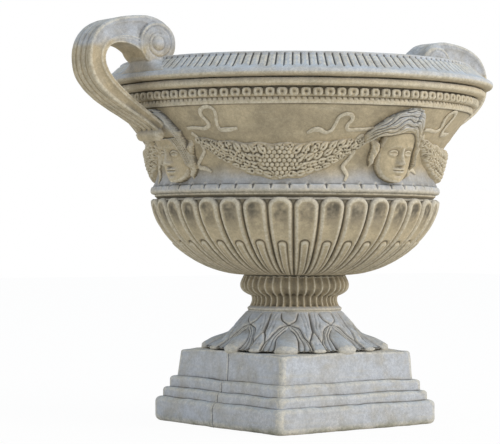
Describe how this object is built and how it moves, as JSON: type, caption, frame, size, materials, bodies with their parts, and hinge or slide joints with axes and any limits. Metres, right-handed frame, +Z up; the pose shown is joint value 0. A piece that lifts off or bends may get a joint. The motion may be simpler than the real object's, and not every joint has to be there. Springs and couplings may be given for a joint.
{
  "type": "urn planter",
  "caption": "Garden urn in cast stone: gadrooned bowl with a flaring masked and garlanded frieze, fluted rim and scrolled handles, on a fluted stem, leafy foot and stepped square plinth.",
  "frame": {"origin": "centre of the plinth's underside, on the ground", "axes": "+Z up, X through the two handles, the plinth's sides along X and Y"},
  "size_m": [1.047, 0.804, 0.8],
  "materials": {
    "stone": "weathered cast stone, matt",
    "mortar": "lime mortar, matt",
    "steel": "plain stainless rod",
    "pipe": "grey drain pipe, matt"
  },
  "bodies": {
    "root": {"plinth": "stone", "foot": "stone", "stem": "stone", "bowl": "stone", "frieze_drum": "stone", "rim": "stone", "handle_right": "stone", "handle_left": "stone", "mask_front": "stone", "mask_right": "stone", "mask_back": "stone", "mask_left": "stone", "garland_front_right": "stone", "garland_back_right": "stone", "garland_back_left": "stone", "garland_front_left": "stone", "plinth_bed": "mortar", "foot_bed": "mortar", "stem_bed": "mortar", "bowl_bed": "mortar", "rim_bed": "mortar", "drain_sleeve": "pipe", "base_dowel_1": "steel", "base_dowel_2": "steel", "base_dowel_3": "steel", "stem_dowel_1": "steel", "stem_dowel_2": "steel", "stem_dowel_3": "steel", "handle_right_scroll_dowel": "steel", "handle_right_crown_dowel": "steel", "handle_left_scroll_dowel": "steel", "handle_left_crown_dowel": "steel"}
  },
  "joints": []
}
